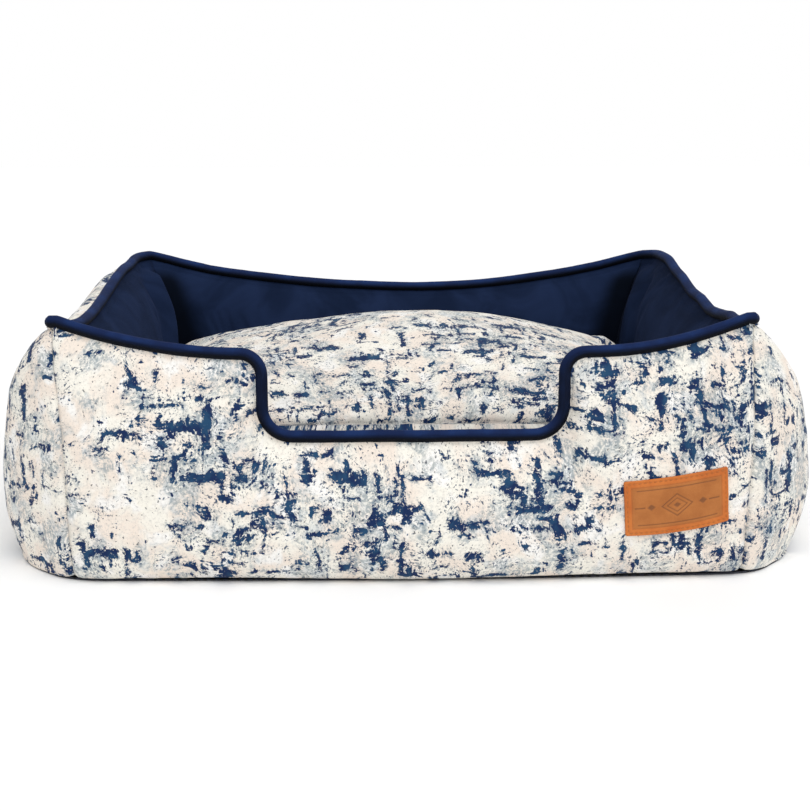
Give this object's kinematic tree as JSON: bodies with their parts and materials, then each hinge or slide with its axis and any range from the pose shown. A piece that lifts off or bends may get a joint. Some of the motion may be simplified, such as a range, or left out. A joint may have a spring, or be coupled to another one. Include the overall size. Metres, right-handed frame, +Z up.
{
  "type": "pet cushion bed",
  "caption": "Rectangular pet bed with four stuffed walls, a low doorway in the front, velvet lining, piping along the rim and a loose crowned cushion.",
  "frame": {"origin": "middle of the footprint's box, on the floor", "axes": "+X to the right along the front wall, +Y from the doorway to the back, +Z up"},
  "size_m": [0.7622, 0.6034, 0.2272],
  "materials": {
    "printed_cloth": "cream woven cloth with an abstract distressed indigo print",
    "velvet": "short-pile navy velvet",
    "piping_cloth": "navy bias-cut cloth, slight sheen",
    "base_cloth": "dark non-slip woven cloth",
    "stuffing": "white loose polyester fibre",
    "piping_cord": "undyed twisted cotton cord",
    "leather": "tan grained leather, blank",
    "thread": "waxed thread",
    "zip_tape": "navy herringbone tape",
    "zip_coil": "navy nylon coil",
    "zip_metal": "satin nickel",
    "care_label": "blank white satin ribbon"
  },
  "bodies": {
    "bed": {"base_panel": "base_cloth", "inner_floor": "velvet", "front_outer_panel": "printed_cloth", "front_lining": "velvet", "front_bolster_fill": "stuffing", "right_outer_panel": "printed_cloth", "right_lining": "velvet", "right_bolster_fill": "stuffing", "back_outer_panel": "printed_cloth", "back_lining": "velvet", "back_bolster_fill": "stuffing", "left_outer_panel": "printed_cloth", "left_lining": "velvet", "left_bolster_fill": "stuffing", "front_piping_cover": "piping_cloth", "front_piping_cord": "piping_cord", "rim_piping_cover": "piping_cloth", "rim_piping_cord": "piping_cord", "leather_label": "leather", "label_stitching": "thread", "bolster_zip_upper_tape": "zip_tape", "bolster_zip_lower_tape": "zip_tape", "bolster_zip_upper_coil": "zip_coil", "bolster_zip_lower_coil": "zip_coil", "bolster_zip_closed_stop": "zip_metal", "bolster_zip_open_stop": "zip_metal"},
    "bolster_zip_slider": {"bolster_zip_slider": "zip_metal"},
    "bolster_zip_pull_tab": {"bolster_zip_pull_tab": "zip_metal"},
    "cushion": {"cushion_zip_upper_tape": "zip_tape", "cushion_zip_lower_tape": "zip_tape", "cushion_zip_upper_coil": "zip_coil", "cushion_zip_lower_coil": "zip_coil", "cushion_zip_closed_stop": "zip_metal", "cushion_zip_open_stop": "zip_metal", "cushion_top_cover": "printed_cloth", "cushion_bottom_cover": "printed_cloth", "cushion_insert": "stuffing", "care_label": "care_label"},
    "cushion_zip_slider": {"cushion_zip_slider": "zip_metal"},
    "cushion_zip_pull_tab": {"cushion_zip_pull_tab": "zip_metal"}
  },
  "joints": [
    {"name": "cushion_lift", "type": "slide", "parent": "bed", "child": "cushion", "axis": [0, 0, 1], "range_m": [0, 0.24]},
    {"name": "bolster_zip_slide", "type": "slide", "parent": "bed", "child": "bolster_zip_slider", "axis": [1, 0, 0], "range_m": [0, 0.398]},
    {"name": "bolster_zip_tab_flip", "type": "hinge", "parent": "bolster_zip_slider", "child": "bolster_zip_pull_tab", "pos_m": [-0.19965, 0.29943, 0.00955], "axis": [0, 0.3732, 0.9278], "range_deg": [0, 170]},
    {"name": "cushion_zip_slide", "type": "slide", "parent": "cushion", "child": "cushion_zip_slider", "axis": [1, 0, 0], "range_m": [0, 0.318]},
    {"name": "cushion_zip_tab_flip", "type": "hinge", "parent": "cushion_zip_slider", "child": "cushion_zip_pull_tab", "pos_m": [-0.15965, 0.19553, 0.0194], "axis": [0, 0.5919, 0.806], "range_deg": [0, 170]}
  ]
}
